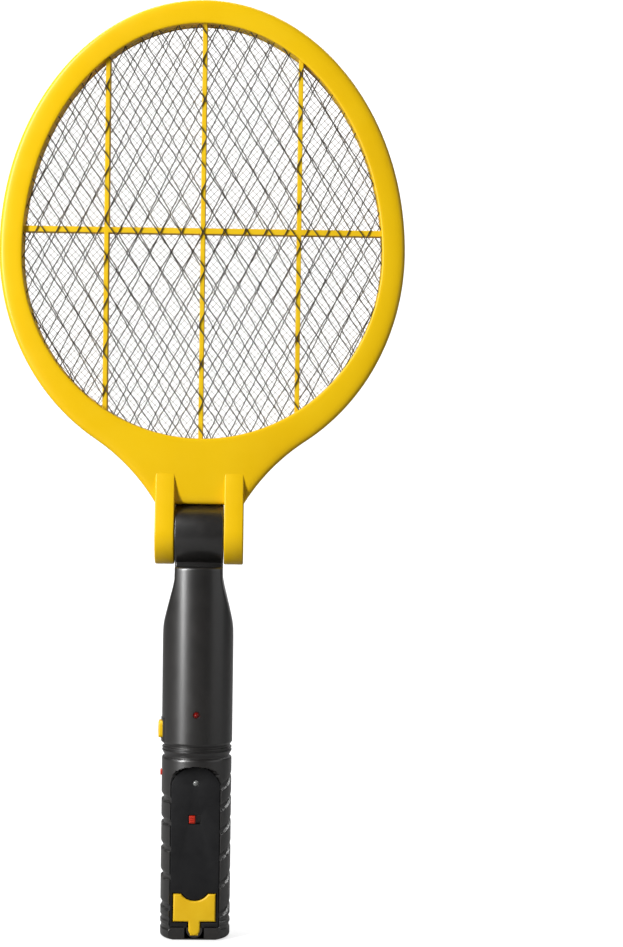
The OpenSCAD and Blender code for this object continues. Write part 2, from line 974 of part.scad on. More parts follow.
// Transformer: ferrite core round a wound bobbin
module transformer() {
  color([0.2, 0.2, 0.21])
    difference() {
      box([-8, -13, 124], [8, -0.05, 140]);
      box([-5.5, -14, 127], [5.5, 1, 137]);
    }
  color("orange")
    box([-5.4, -12, 127.1], [5.4, -1, 136.9]);
}

module storage_capacitors() {
  color("firebrick")
    for (z = [146.6, 159.2])
      hull() {
        box([-6, -8, z - 5.5], [6, -0.05, z + 5.5]);
        box([-7, -7, z - 4.5], [7, -1, z + 4.5]);
      }
}

module power_transistor() {
  color([0.1, 0.1, 0.1]) {
    intersection() {
      bar_z(2.4, 92, 97, 0, -2.4);
      box([-3, -4.2, 91], [3, -0.05, 98]);
    }
    for (x = [-1.27, 0, 1.27])
      box([x - 0.22, -2.6, 86], [x + 0.22, -2.15, 92.2]);
  }
}

// Round bar along Z
module bar_z(r, z0, z1, x, y) {
  translate([x, y, z0])
    cylinder(r = r, h = z1 - z0);
}

module battery_cell() {
  z0 = 13.5;
  color("steelblue") {
    bar_z(cell_r, z0, z0 + cell_l - 1.2, 0, cell_y);
    bar_z(3.4, z0, z0 + cell_l, 0, cell_y);
  }
}

module battery_tabs() {
  color("silver") {
    box([-3, cell_y - 7, 78.6], [3, cell_y + 7, 78.9]);
    box([-3, cell_y - 7, 13.1], [3, cell_y + 7, 13.4]);
  }
}

// Two open saddles on a spine hold the cell against the rear casing
module battery_cradle() {
  color([0.3, 0.3, 0.32])
    for (z = [36, 64])
      difference() {
        bar_z(cell_r + 1.5, z, z + 7, 0, cell_y);
        bar_z(cell_r + 0.1, z - 1, z + 8, 0, cell_y);
        box([-20, -20, z - 1], [20, cell_y - 6, z + 8]);
      }
}

module battery_leads() {
  wire = 0.65;
  color("red")
    tube([[1, cell_y - 6, 79.7], [2, -1.4, 80.2], [2.6, -4, 82], [2.6, -5.9, 84.5]], wire, [1, 0, 0]);
  color("black")
    tube([[0, cell_y - 6, 12.3], [0, -2.5, 11.8], [0, -4.6, 13], [0, -5.6, 14]], wire, [1, 0, 0]);
}

// Lead that climbs the neck, passes round the hinge sleeve and ends in the barrel's lead slot;
// side is -1 for the lead in front of the sleeve and 1 for the one behind it
function climbing_lead(side, x, y) = concat(
  [[x, y, 158], [x, y, 167], [-7, side * 1.6, 176], [-6.6, side * 1.6, 188], [-7.4, side * 2.5, 196.4]],
  [for (a = [-60 : 20 : 60]) [-8.2, side * lead_ring_r * cos(a), hinge_z + lead_ring_r * sin(a)]],
  [
    [-9, side * lead_ring_r * cos(77), hinge_z + lead_ring_r * sin(77)],
    [-10.8, side * 0.85, hinge_z + lead_ring_r]
  ]
);

module handle_leads() {
  wire = 0.65;
  color("firebrick")
    tube(climbing_lead(-1, -9.4, -0.8), wire, [0.8, 0.6, 0.2]);
  color("dimgray")
    tube(climbing_lead(1, -9.4, 2.4), wire, [0.8, -0.6, 0.2]);
}

head_shell_front();
head_shell_rear();
rib_frame_front();
rib_frame_rear();
front_guard_mesh();
rear_guard_mesh();
centre_grid();
grid_contacts();
head_leads();
head_screws();
hinge_bolt();
hinge_nut();
friction_washers();
hinge_sleeve();
handle_shell_front();
handle_shell_rear();
handle_screws();
control_panel();
zap_button();
zap_spring();
zap_switch();
lamp_button();
lamp_spring();
lamp_switch();
hv_indicator_lamp();
charge_lamp();
slide_switch_body();
slide_switch_knob();
port_cover();
charge_socket();
charge_board();
charge_chip();
main_board();
transformer();
storage_capacitors();
power_transistor();
battery_cell();
battery_tabs();
battery_cradle();
battery_leads();
handle_leads();
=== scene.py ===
"""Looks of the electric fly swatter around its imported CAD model.

The geometry helpers work in millimetres, like part.scad, and solid_piece() scales to metres.
+Z runs up the handle, -Y is the front. Angles round the handle start at the front and
grow towards +X.
"""

import math

import bmesh
import bpy
from mathutils import Matrix, Vector
from mathutils.geometry import delaunay_2d_cdt


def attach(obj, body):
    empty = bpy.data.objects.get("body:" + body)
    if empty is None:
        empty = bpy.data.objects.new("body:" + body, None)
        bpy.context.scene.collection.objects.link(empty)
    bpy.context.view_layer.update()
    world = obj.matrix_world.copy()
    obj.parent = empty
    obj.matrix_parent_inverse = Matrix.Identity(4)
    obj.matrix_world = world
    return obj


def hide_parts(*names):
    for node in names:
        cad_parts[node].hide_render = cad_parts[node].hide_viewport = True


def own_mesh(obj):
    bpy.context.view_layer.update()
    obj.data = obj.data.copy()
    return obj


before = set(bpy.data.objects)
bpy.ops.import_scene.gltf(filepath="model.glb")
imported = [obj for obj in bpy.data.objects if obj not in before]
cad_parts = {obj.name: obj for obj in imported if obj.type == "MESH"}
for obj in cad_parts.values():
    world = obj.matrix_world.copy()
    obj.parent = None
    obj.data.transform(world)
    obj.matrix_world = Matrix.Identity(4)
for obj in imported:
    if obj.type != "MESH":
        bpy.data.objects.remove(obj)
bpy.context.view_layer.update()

MM = 0.001
HIDE_OVERLAP = 0.05


# ---- Camera, stage and lights ---------------------------------------------

def aim(obj, place, target, roll=0.0):
    """Puts obj at place, looking at target, with its right side turned up by roll."""
    place = Vector(place)
    ahead = (Vector(target) - place).normalized()
    right = ahead.cross(Vector((0, 0, 1))).normalized()
    up = right.cross(ahead)
    tilted_right = right * math.cos(roll) + up * math.sin(roll)
    tilted_up = up * math.cos(roll) - right * math.sin(roll)
    turn = Matrix((tilted_right, tilted_up, -ahead)).transposed()
    obj.matrix_world = Matrix.Translation(place) @ turn.to_4x4()


def add_to_scene(obj):
    bpy.context.scene.collection.objects.link(obj)
    return obj


def make_camera():
    data = bpy.data.cameras.new("Camera")
    data.lens = 83.7
    data.sensor_width = 36.0
    camera = add_to_scene(bpy.data.objects.new("Camera", data))
    aim(camera, (0.03, -1.15, 0.27), (0.0581, 0.0, 0.2425), math.radians(0.76))
    bpy.context.scene.camera = camera


def area_light(name, place, target, size, power, colour=(1, 1, 1)):
    data = bpy.data.lights.new(name, "AREA")
    data.shape = "RECTANGLE"
    data.size, data.size_y = size
    data.energy = power
    data.color = colour
    aim(add_to_scene(bpy.data.objects.new(name, data)), place, target)


def make_lights():
    area_light("key_light", (-1.03, -0.87, 0.78), (0, 0, 0.28), (0.22, 1.45), 31)
    area_light("fill_light", (1.3, -0.5, 0.5), (0, 0, 0.25), (1.2, 1.6), 3.2)
    area_light("back_light", (0.2, 0.75, 1.5), (0, 1.2, 0.0), (2.4, 0.8), 30)
    bpy.context.scene.view_settings.view_transform = "Standard"


def make_world():
    """As pale as the far floor where the world is seen directly, and dim as a light."""
    world = bpy.data.worlds.new("World")
    world.use_nodes = True
    tree = world.node_tree
    dim = tree.nodes["Background"]
    dim.inputs["Color"].default_value = (1, 1, 1, 1)
    dim.inputs["Strength"].default_value = 0.06
    bright = tree.nodes.new("ShaderNodeBackground")
    bright.inputs["Color"].default_value = (0.76, 0.76, 0.76, 1)
    path = tree.nodes.new("ShaderNodeLightPath")
    choice = tree.nodes.new("ShaderNodeMixShader")
    tree.links.new(path.outputs["Is Camera Ray"], choice.inputs["Fac"])
    tree.links.new(dim.outputs["Background"], choice.inputs[1])
    tree.links.new(bright.outputs["Background"], choice.inputs[2])
    tree.links.new(choice.outputs["Shader"], tree.nodes["World Output"].inputs["Surface"])
    bpy.context.scene.world = world


def make_stage():
    """A pale floor that curves up into the backdrop."""
    near_edge, depth, radius, height, half_width = -3.0, 1.7, 0.5, 1.8, 2.4
    curve_steps, drop, bounce_share = 12, 0.0004, 0.2
    run = [(near_edge, 0.0), (depth - radius, 0.0)]
    for i in range(1, curve_steps + 1):
        a = math.pi / 2 * i / curve_steps
        run.append((depth - radius + radius * math.sin(a), radius - radius * math.cos(a)))
    run.append((depth, height))
    mesh = bpy.data.meshes.new("floor")
    verts = [(side * half_width, y, z - drop) for side in (-1, 1) for y, z in run]
    count = len(run)
    faces = [(i, i + count, i + count + 1, i + 1) for i in range(count - 1)]
    mesh.from_pydata(verts, [], faces)
    for face in mesh.polygons:
        face.use_smooth = True
    floor = add_to_scene(bpy.data.objects.new("floor", mesh))
    floor.data.materials.append(one_sided_stage(FINISHES["floor"], bounce_share))


# ---- Materials --------------------------------------------------------------

def new_material(name):
    material = bpy.data.materials.new(name)
    material.use_nodes = True
    return material, material.node_tree, material.node_tree.nodes["Principled BSDF"]


def noise(tree, scale, detail=3.0, stretch=(1, 1, 1)):
    """A noise texture in object space; scale counts its features in one metre."""
    place = tree.nodes.new("ShaderNodeTexCoord")
    sizing = tree.nodes.new("ShaderNodeMapping")
    sizing.inputs["Scale"].default_value = stretch
    texture = tree.nodes.new("ShaderNodeTexNoise")
    texture.inputs["Scale"].default_value = scale
    texture.inputs["Detail"].default_value = detail
    tree.links.new(place.outputs["Object"], sizing.inputs["Vector"])
    tree.links.new(sizing.outputs["Vector"], texture.inputs["Vector"])
    return texture.outputs["Fac"]


def spread(tree, value, low, high):
    """Spreads a noise value, which stays near 0.5, over the range low to high."""
    node = tree.nodes.new("ShaderNodeMapRange")
    node.inputs["From Min"].default_value = 0.3
    node.inputs["From Max"].default_value = 0.7
    node.inputs["To Min"].default_value = low
    node.inputs["To Max"].default_value = high
    tree.links.new(value, node.inputs["Value"])
    return node.outputs["Result"]


def colour_ramp(tree, value, stops):
    node = tree.nodes.new("ShaderNodeValToRGB")
    ramp = node.color_ramp
    while len(ramp.elements) < len(stops):
        ramp.elements.new(0.5)
    for element, (place, colour) in zip(ramp.elements, stops):
        element.position = place
        element.color = (*colour, 1)
    tree.links.new(value, node.inputs["Fac"])
    return node.outputs["Color"]


def bump(tree, height, depth, strength, below=None):
    node = tree.nodes.new("ShaderNodeBump")
    node.inputs["Distance"].default_value = depth
    node.inputs["Strength"].default_value = strength
    tree.links.new(height, node.inputs["Height"])
    if below is not None:
        tree.links.new(below, node.inputs["Normal"])
    return node.outputs["Normal"]


def finish(name, dark, light, patch, gloss, grain, relief, stretch=(1, 1, 1), **fixed):
    """A mottled surface: two close colours, an uneven gloss, a soft wave and a fine grain."""
    material, tree, shader = new_material(name)
    patches = noise(tree, patch, 4.0, stretch)
    speckle = noise(tree, grain, 2.0, stretch)
    tree.links.new(colour_ramp(tree, patches, [(0.32, dark), (0.68, light)]), shader.inputs["Base Color"])
    tree.links.new(spread(tree, noise(tree, patch * 4, 5.0, stretch), *gloss), shader.inputs["Roughness"])
    wave = bump(tree, patches, 0.0006, relief)
    tree.links.new(bump(tree, speckle, 0.00006, relief * 3, wave), shader.inputs["Normal"])
    for socket, value in fixed.items():
        shader.inputs[socket.replace("_", " ")].default_value = value
    return material


def one_sided_stage(material, share):
    """The stage: pale to the camera, darker to the object's gloss, and unseen from behind."""
    tree = material.node_tree
    dark = tree.nodes.new("ShaderNodeBsdfDiffuse")
    dark.inputs["Color"].default_value = (share, share, share, 1)
    path = tree.nodes.new("ShaderNodeLightPath")
    choice = tree.nodes.new("ShaderNodeMixShader")
    tree.links.new(path.outputs["Is Camera Ray"], choice.inputs["Fac"])
    tree.links.new(dark.outputs["BSDF"], choice.inputs[1])
    tree.links.new(tree.nodes["Principled BSDF"].outputs["BSDF"], choice.inputs[2])
    clear = tree.nodes.new("ShaderNodeBsdfTransparent")
    face = tree.nodes.new("ShaderNodeNewGeometry")
    side = tree.nodes.new("ShaderNodeMixShader")
    tree.links.new(face.outputs["Backfacing"], side.inputs["Fac"])
    tree.links.new(choice.outputs["Shader"], side.inputs[1])
    tree.links.new(clear.outputs["BSDF"], side.inputs[2])
    tree.links.new(side.outputs["Shader"], tree.nodes["Material Output"].inputs["Surface"])
    return material


def board_finish(name):
    """Green solder mask with copper tracks that shimmer through and pale pads."""
    material, tree, shader = new_material(name)
    place = tree.nodes.new("ShaderNodeTexCoord")
    tracks = tree.nodes.new("ShaderNodeTexBrick")
    tracks.inputs["Scale"].default_value = 260
    tracks.inputs["Mortar Size"].default_value = 0.06
    tracks.inputs["Color1"].default_value = (0.012, 0.09, 0.03, 1)
    tracks.inputs["Color2"].default_value = (0.02, 0.13, 0.045, 1)
    tracks.inputs["Mortar"].default_value = (0.05, 0.21, 0.07, 1)
    turned = tree.nodes.new("ShaderNodeMapping")
    turned.inputs["Rotation"].default_value = (math.pi / 2, 0, 0)
    tree.links.new(place.outputs["Object"], turned.inputs["Vector"])
    tree.links.new(turned.outputs["Vector"], tracks.inputs["Vector"])
    tree.links.new(tracks.outputs["Color"], shader.inputs["Base Color"])
    tree.links.new(spread(tree, noise(tree, 500), 0.25, 0.4), shader.inputs["Roughness"])
    tree.links.new(bump(tree, tracks.outputs["Fac"], 0.00004, 0.5), shader.inputs["Normal"])
    return material


METAL = {"Metallic": 1.0}
LENS = {"Transmission_Weight": 0.75, "IOR": 1.5}
FINISHES = {
    "floor": finish("floor", (0.40, 0.40, 0.40), (0.42, 0.42, 0.42), 3, (0.85, 0.95), 60, 0.02,
                    Emission_Color=(1, 1, 1, 1), Emission_Strength=0.72),
    "shell_yellow": finish("shell_yellow", (0.90, 0.545, 0.002), (0.95, 0.60, 0.004),
                           18, (0.30, 0.38), 1400, 0.05, Specular_IOR_Level=0.35),
    "rib_yellow": finish("rib_yellow", (0.92, 0.57, 0.004), (0.97, 0.63, 0.008),
                         30, (0.36, 0.46), 1400, 0.05),
    "shell_black": finish("shell_black", (0.006, 0.0055, 0.005), (0.012, 0.010, 0.009),
                          40, (0.33, 0.40), 1500, 0.05, Specular_IOR_Level=1.0,
                          Coat_Weight=0.9, Coat_Roughness=0.28),
    "panel_black": finish("panel_black", (0.009, 0.009, 0.010), (0.014, 0.014, 0.015),
                          60, (0.48, 0.60), 2600, 0.22, Specular_IOR_Level=0.3),
    "rubber_yellow": finish("rubber_yellow", (0.88, 0.52, 0.003), (0.94, 0.60, 0.008),
                            60, (0.42, 0.52), 1800, 0.10),
    "button_yellow": finish("button_yellow", (0.88, 0.52, 0.003), (0.95, 0.60, 0.005),
                            60, (0.32, 0.42), 1600, 0.06),
    "plastic_red": finish("plastic_red", (0.50, 0.02, 0.008), (0.62, 0.035, 0.012),
                          150, (0.35, 0.45), 2500, 0.08),
    "lamp_red": finish("lamp_red", (0.62, 0.015, 0.01), (0.80, 0.03, 0.02),
                       300, (0.08, 0.16), 900, 0.03, **LENS),
    "lamp_clear": finish("lamp_clear", (0.80, 0.82, 0.80), (0.95, 0.96, 0.94),
                         300, (0.06, 0.14), 900, 0.03, **LENS),
    "mesh_front": finish("mesh_front", (0.055, 0.049, 0.044), (0.13, 0.115, 0.10),
                         120, (0.38, 0.55), 3000, 0.2, Metallic=0.7),
    "mesh_rear": finish("mesh_rear", (0.11, 0.10, 0.092), (0.20, 0.19, 0.175),
                        120, (0.38, 0.55), 3000, 0.2, Metallic=0.6),
    "grid_steel": finish("grid_steel", (0.20, 0.18, 0.16), (0.42, 0.38, 0.34),
                         260, (0.35, 0.5), 3000, 0.15, Metallic=0.3),
    "steel": finish("steel", (0.52, 0.52, 0.52), (0.66, 0.65, 0.64),
                    200, (0.22, 0.36), 2500, 0.1, **METAL),
    "brass": finish("brass", (0.55, 0.36, 0.12), (0.68, 0.47, 0.18),
                    200, (0.25, 0.4), 2200, 0.1, **METAL),
    "wire": finish("wire", (0.35, 0.02, 0.015), (0.45, 0.035, 0.02),
                   200, (0.4, 0.5), 2500, 0.1),
    "dark_part": finish("dark_part", (0.018, 0.018, 0.019), (0.03, 0.03, 0.031),
                        200, (0.45, 0.6), 3000, 0.2),
    "ferrite": finish("ferrite", (0.035, 0.033, 0.032), (0.06, 0.057, 0.055),
                      250, (0.6, 0.75), 3500, 0.3),
    "capacitor": finish("capacitor", (0.28, 0.05, 0.02), (0.38, 0.08, 0.03),
                        150, (0.2, 0.32), 1200, 0.1),
    "cell": finish("cell", (0.04, 0.11, 0.27), (0.06, 0.16, 0.36),
                   80, (0.18, 0.28), 900, 0.05),
    "cradle": finish("cradle", (0.05, 0.05, 0.055), (0.08, 0.08, 0.085),
                     90, (0.5, 0.62), 2200, 0.15),
    "board": board_finish("board"),
}


# ---- Outlines in the front view, as in part.scad ----------------------------

HEAD_RX, HEAD_Z, HEAD_TOP, HEAD_DROP = 105.0, 357.0, 129.8, 114.5
WINDOW_RX, WINDOW_Z, WINDOW_TOP, WINDOW_DROP = 93.1, 355.0, 119.5, 95.0
FLARE_R, FLARE_JOIN_Z, PLATE_Z = 105.0, 259.2, 226.0
HEAD_HALF_T, SKIN_Y, WALL = 8.0, 6.2, 2.2
HINGE_Z, KNUCKLE_R, BARREL_HALF = 210.0, 15.6, 12.5
ARM_X, ARM_OUT, ARM_TOP_Z = 12.9, 22.9, 241.5


def ellipse_run(rx, rz, cz, t0, t1, n, d):
    """Points of an ellipse from angle t0 to t1 in radians, moved outwards by d."""
    points = []
    for i in range(n + 1):
        t = t0 + (t1 - t0) * i / n
        normal = Vector((math.cos(t) / rx, math.sin(t) / rz)).normalized()
        points.append(Vector((rx * math.cos(t), cz + rz * math.sin(t))) + d * normal)
    return points


def both_sides(points):
    """Closes a half outline with its mirror image."""
    mirrored = [Vector((-p.x, p.y)) for p in reversed(points) if p.x > 0.01]
    return points + mirrored


def window_edge(d, n=44):
    quarter = math.pi / 2
    top = ellipse_run(WINDOW_RX, WINDOW_TOP, WINDOW_Z, quarter, 0, n, d)
    low = ellipse_run(WINDOW_RX, WINDOW_DROP, WINDOW_Z, 0, -quarter, n, d)
    return both_sides(top + low[1:])


def head_edge(d, n=44):
    """Outer edge of the head, moved outwards by d: ellipses, flare and plate edge."""
    flare_t = -math.asin((HEAD_Z - FLARE_JOIN_Z) / HEAD_DROP)
    top = ellipse_run(HEAD_RX, HEAD_TOP, HEAD_Z, math.pi / 2, 0, n, d)
    low = ellipse_run(HEAD_RX, HEAD_DROP, HEAD_Z, 0, flare_t, n * 2 // 3, d)
    join = Vector((HEAD_RX * math.cos(flare_t), HEAD_Z + HEAD_DROP * math.sin(flare_t)))
    normal = Vector((math.cos(flare_t) / HEAD_RX, math.sin(flare_t) / HEAD_DROP)).normalized()
    centre = join + FLARE_R * normal
    a0 = math.atan2(normal.y, normal.x)
    a1 = -math.acos((centre.x - ARM_OUT) / FLARE_R)
    flare = []
    for i in range(1, 21):
        a = a0 + (a1 - a0) * i / 20
        flare.append(centre - (FLARE_R - d) * Vector((math.cos(a), math.sin(a))))
    corner = [Vector((ARM_OUT - 3 + d, PLATE_Z - d)), Vector((5.0, PLATE_Z - d))]
    return both_sides(top + low[1:] + flare + corner)


def rounded_box(width, height, r, steps=5):
    """Outline of a rectangle with rounded corners round the origin."""
    points = []
    for k, (sx, sy) in enumerate(((1, 1), (-1, 1), (-1, -1), (1, -1))):
        centre = Vector((sx * (width / 2 - r), sy * (height / 2 - r)))
        for i in range(steps + 1):
            a = math.pi / 2 * (k + i / steps)
            points.append(centre + r * Vector((math.cos(a), math.sin(a))))
    return points


def circle(r, x, z, n=32):
    return [Vector((x + r * math.cos(2 * math.pi * i / n), z + r * math.sin(2 * math.pi * i / n)))
            for i in range(n)]


def area(loop):
    return sum(a.x * b.y - b.x * a.y for a, b in zip(loop, loop[1:] + loop[:1])) / 2


def grown(loop, d):
    """A closed outline moved outwards by d, with mitred corners."""
    if area(loop) < 0:
        return list(reversed(grown(list(reversed(loop)), d)))
    result = []
    for i, p in enumerate(loop):
        before = (p - loop[i - 1]).normalized()
        after = (loop[(i + 1) % len(loop)] - p).normalized()
        out_a = Vector((before.y, -before.x))
        out_b = Vector((after.y, -after.x))
        middle = out_a + out_b
        result.append(p + middle * (2 * d / max(middle.length_squared, 0.5)))
    return result


def clip(loop, axis, limit, keep_above):
    """The part of a convex outline on one side of a line."""
    sign = 1 if keep_above else -1
    result = []
    for a, b in zip(loop, loop[1:] + loop[:1]):
        da, db = sign * (a[axis] - limit), sign * (b[axis] - limit)
        if da >= 0:
            result.append(a)
        if da * db < 0:
            result.append(a + (b - a) * (da / (da - db)))
    return result


# ---- Mesh building ----------------------------------------------------------

def ring(bm, loop, y):
    """Vertices of a front-view outline at one depth."""
    return [bm.verts.new((p.x, y, p.y)) for p in loop]


def bridge(bm, first, second):
    count = len(first)
    for i in range(count):
        j = (i + 1) % count
        bm.faces.new((first[i], first[j], second[j], second[i]))


def bridge_all(bm, rings):
    for first, second in zip(rings, rings[1:]):
        bridge(bm, first, second)


def cap(bm, outer, holes=(), axes=(0, 2)):
    """Fills the flat area inside a ring of vertices and outside the rings of its holes."""
    loops = [outer, *holes]
    verts = [v for loop in loops for v in loop]
    flat = [Vector((v.co[axes[0]], v.co[axes[1]])) for v in verts]
    edges, start = [], 0
    for loop in loops:
        edges += [(start + i, start + (i + 1) % len(loop)) for i in range(len(loop))]
        start += len(loop)
    result = delaunay_2d_cdt(flat, edges, [], 1, 1e-7)
    sources = [group[0] for group in result[3]]
    hole_loops = [[Vector((v.co[axes[0]], v.co[axes[1]])) for v in hole] for hole in holes]
    for face in result[2]:
        middle = sum((result[0][i] for i in face), Vector((0, 0))) / len(face)
        if any(inside(middle, hole) for hole in hole_loops):
            continue
        bm.faces.new([verts[sources[i]] for i in face])


def inside(p, loop):
    odd = False
    for a, b in zip(loop, loop[1:] + loop[:1]):
        if (a.y > p.y) != (b.y > p.y) and p.x < a.x + (p.y - a.y) * (b.x - a.x) / (b.y - a.y):
            odd = not odd
    return odd


def rounding(edge, steps=4):
    """Steps of a rounded edge as (inset, setback) pairs, from the side to the face."""
    angles = [math.pi / 2 * i / steps for i in range(steps + 1)]
    return [(edge * (1 - math.cos(a)), edge * (1 - math.sin(a))) for a in angles]


def rounded_sheet(bm, outer, holes, face_y, back_y, edge, hole_edge):
    """A flat plate whose face at face_y has rounded edges; back_y is its plain back."""
    side = 1 if back_y > face_y else -1
    outer_rings = [ring(bm, outer, back_y)]
    outer_rings += [ring(bm, grown(outer, -inset), face_y + side * back)
                    for inset, back in rounding(edge)]
    bridge_all(bm, outer_rings)
    face_holes, back_holes = [], []
    for hole in holes:
        rings = [ring(bm, hole, back_y)]
        rings += [ring(bm, grown(hole, inset), face_y + side * back)
                  for inset, back in rounding(hole_edge)]
        bridge_all(bm, rings)
        back_holes.append(rings[0])
        face_holes.append(rings[-1])
    cap(bm, outer_rings[-1], face_holes)
    cap(bm, outer_rings[0], back_holes)


def solid_piece(name, bm, body, finish_name, nodes=(), smooth_angle=35):
    """Makes the object from millimetre geometry, gives it its finish, ties it to its body and hides the
    CAD nodes it stands for.
    """
    bmesh.ops.remove_doubles(bm, verts=bm.verts, dist=1e-5)
    bmesh.ops.recalc_face_normals(bm, faces=bm.faces)
    bmesh.ops.scale(bm, vec=(MM, MM, MM), verts=bm.verts)
    mesh = bpy.data.meshes.new(name)
    bm.to_mesh(mesh)
    bm.free()
    mesh.shade_smooth()
    mesh.set_sharp_from_angle(angle=math.radians(smooth_angle))
    piece = add_to_scene(bpy.data.objects.new(name, mesh))
    mesh.materials.append(FINISHES[finish_name])
    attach(piece, body)
    if nodes:
        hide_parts(*nodes)
    return piece


def keep_side(bm, side, parting=0.01):
    """Cuts a closed solid at the parting plane, keeps its front (-1) or rear (1) part and closes it."""
    geometry = bm.verts[:] + bm.edges[:] + bm.faces[:]
    cut = bmesh.ops.bisect_plane(bm, geom=geometry, plane_co=(0, side * parting, 0),
                                 plane_no=(0, side, 0), clear_inner=True)
    edges = [e for e in cut["geom_cut"] if isinstance(e, bmesh.types.BMEdge)]
    bmesh.ops.triangle_fill(bm, edges=edges, use_beauty=True)


# ---- Head -------------------------------------------------------------------

def head_skin(bm, side):
    """One half of the head: a domed skin round the window with a turned-down outer wall."""
    outer = [(0.0, 0.05), (0.0, 3.0), (0.0, 5.3), (-0.15, 6.1), (-0.55, 6.8), (-1.2, 7.3),
             (-2.2, 7.62), (-3.6, 7.84), (-5.4, 7.97)]
    window = [(0.0, SKIN_Y), (0.0, 7.2), (0.12, 7.5), (0.4, 7.74), (0.9, 7.88), (2.2, 7.97)]
    outer_rings = [ring(bm, head_edge(d), side * y) for d, y in outer]
    window_rings = [ring(bm, window_edge(d), side * y) for d, y in window]
    bridge_all(bm, outer_rings)
    bridge_all(bm, window_rings)
    cap(bm, outer_rings[-1], [window_rings[-1]])
    wall = [ring(bm, head_edge(-WALL), side * y) for y in (0.05, SKIN_Y)]
    bridge(bm, outer_rings[0], wall[0])
    bridge(bm, *wall)
    cap(bm, wall[-1], [window_rings[0]])


def arm_profile(d):
    """Side view of an arm (y, z), shrunk by d: round end, ramp and a root inside the plate."""
    r = KNUCKLE_R - d
    lift = math.radians(10)
    half = [Vector((r * math.cos(lift + (-math.pi / 2 - lift) * i / 24),
                    HINGE_Z + r * math.sin(lift + (-math.pi / 2 - lift) * i / 24))) for i in range(25)]
    end = Vector((HEAD_HALF_T - d, ARM_TOP_Z))
    ramp = [half[0] + (end - half[0]) * i / 6 for i in range(6)]
    root = [Vector((6.4 - d, ARM_TOP_Z + 5)), Vector((HEAD_HALF_T - HIDE_OVERLAP - d, ARM_TOP_Z + 0.4))]
    return both_sides(root + list(reversed(ramp)) + half[1:])


def head_arm(bm, low_x, bolt_side):
    """An arm of the fork, with a pocket for the bolt's head or nut in its outer face."""
    edge, width, pocket_r, pocket_d = 0.7, 10.0, 5.0, 3.4
    outer_x = low_x + (width if bolt_side > 0 else 0)
    inner_x = low_x + (0 if bolt_side > 0 else width)
    rings = []
    for face_x, inwards, order in ((inner_x, bolt_side, -1), (outer_x, -bolt_side, 1)):
        for inset, setback in rounding(edge)[::order]:
            x = face_x + inwards * setback
            rings.append([bm.verts.new((x, p.x, p.y)) for p in arm_profile(inset)])
    bridge_all(bm, rings)
    cap(bm, rings[0], axes=(1, 2))
    pocket = []
    for r, depth in ((pocket_r + 0.3, 0.0), (pocket_r, 0.3), (pocket_r, pocket_d)):
        loop = circle(r, 0, HINGE_Z, 40)
        pocket.append([bm.verts.new((outer_x - bolt_side * depth, p.x, p.y)) for p in loop])
    bridge_all(bm, pocket)
    cap(bm, rings[-1], [pocket[0]], axes=(1, 2))
    cap(bm, pocket[-1], axes=(1, 2))


def plate_lip(bm):
    """The lip behind the barrel that closes the gap under the plate."""
    outline = [Vector((x, z)) for x, z in ((ARM_X + 0.6, 225.2), (ARM_X + 0.6, 229), (-ARM_X - 0.6, 229),
                                           (-ARM_X - 0.6, 225.2))]
    rounded_sheet(bm, outline, [], 7.7, 5.2, 0.3, 0.3)


def make_head_shells():
    for side, node in ((-1, "head_shell_front"), (1, "head_shell_rear")):
        arms = bmesh.new()
        head_arm(arms, ARM_X, 1)
        head_arm(arms, -ARM_OUT, -1)
        bmesh.ops.recalc_face_normals(arms, faces=arms.faces)
        keep_side(arms, side)
        skin = bmesh.new()
        head_skin(skin, side)
        if side > 0:
            plate_lip(skin)
        scratch = bpy.data.meshes.new("scratch")
        arms.to_mesh(scratch)
        skin.from_mesh(scratch)
        arms.free()
        bpy.data.meshes.remove(scratch)
        solid_piece(node.replace("head", "moulded_head"), skin, "head",
                    "shell_yellow", [node])


def make_rib_frames():
    """The frames that hold the grid: a rim under the shell and crossed ribs over the window."""
    pitch, upright, cross, cross_z = 49.9, 2.4, 3.0, 367.6
    opening = window_edge(0.25)
    columns = [-200] + [i * pitch for i in (-1, 0, 1)] + [200]
    holes = []
    for x0, x1 in zip(columns, columns[1:]):
        strip = clip(clip(opening, 0, x0 + upright / 2, True), 0, x1 - upright / 2, False)
        holes.append(clip(strip, 1, cross_z + cross / 2, True))
        holes.append(clip(strip, 1, cross_z - cross / 2, False))
    for side, node in ((-1, "rib_frame_front"), (1, "rib_frame_rear")):
        bm = bmesh.new()
        rounded_sheet(bm, window_edge(8.2), holes, side * 5.1, side * 0.7, 0.3, 0.35)
        solid_piece(node.replace("rib", "moulded_rib"), bm, "head", "rib_yellow",
                    [node])


# ---- Meshes -----------------------------------------------------------------

MESH_MID = WINDOW_Z + (WINDOW_TOP - WINDOW_DROP) / 2


def in_window(x, z, d):
    """True if a point of the front view lies inside the window's edge grown by d."""
    rz = WINDOW_TOP if z > WINDOW_Z else WINDOW_DROP
    return (x / (WINDOW_RX + d)) ** 2 + ((z - WINDOW_Z) / (rz + d)) ** 2 < 1


def wire_run(bm, points, half_x, half_y, sides=6):
    """A closed wire of flattened section through the points."""
    rings = []
    for i, p in enumerate(points):
        ahead = (points[min(i + 1, len(points) - 1)] - points[max(i - 1, 0)]).normalized()
        across = Vector((ahead.z, 0, -ahead.x))
        section = []
        for k in range(sides):
            a = 2 * math.pi / sides * k
            section.append(bm.verts.new(p + across * (half_x * math.cos(a))
                                        + Vector((0, half_y * math.sin(a), 0))))
        rings.append(section)
    bridge_all(bm, rings)
    bm.faces.new(rings[0])
    bm.faces.new(reversed(rings[-1]))


